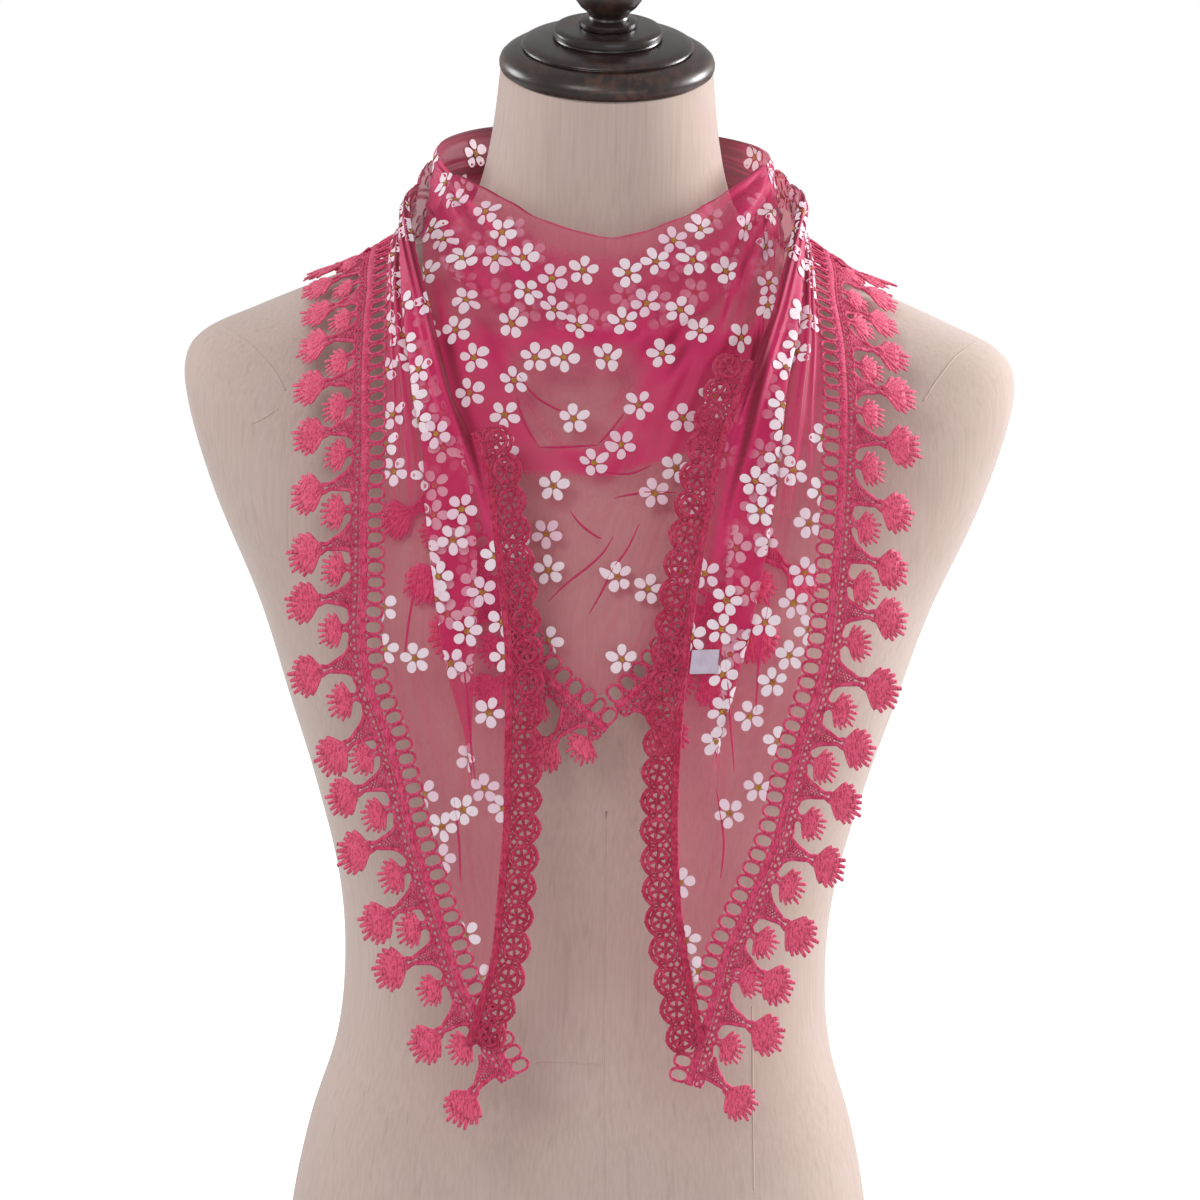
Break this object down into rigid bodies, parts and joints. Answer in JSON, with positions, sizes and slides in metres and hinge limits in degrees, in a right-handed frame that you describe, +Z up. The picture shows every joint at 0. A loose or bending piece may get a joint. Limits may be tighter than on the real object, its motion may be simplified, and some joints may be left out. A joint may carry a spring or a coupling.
{
  "type": "lace shawl on a dress form",
  "caption": "Sheer triangular shawl with leaf lace and scalloped lace borders, worn as a bib with two hanging tails on a linen dress form with a turned wooden neck cap.",
  "frame": {"origin": "middle of the dress form's flat underside, on the surface it stands on", "axes": "+Z up, -Y the front of the form, +X to a viewer's right"},
  "size_m": [0.3922, 0.264, 0.6418],
  "materials": {
    "linen": "natural linen, matte",
    "dark_wood": "dark stained, satin varnish",
    "sheer_pink": "sheer organza, printed with small white flowers",
    "pink_lace": "guipure lace of matte cotton thread",
    "white_satin": "satin tape, blank"
  },
  "bodies": {
    "root": {"dress_form": "linen", "neck_cap": "dark_wood", "cap_knob": "dark_wood", "bib": "sheer_pink", "turn_left": "sheer_pink", "turn_right": "sheer_pink", "cross_under": "sheer_pink", "cross_over": "sheer_pink", "tail_left": "sheer_pink", "tail_right": "sheer_pink", "lace_bib_left": "pink_lace", "lace_bib_right": "pink_lace", "lace_left": "pink_lace", "lace_right": "pink_lace", "scallop_left": "pink_lace", "scallop_right": "pink_lace", "label": "white_satin"}
  },
  "joints": []
}
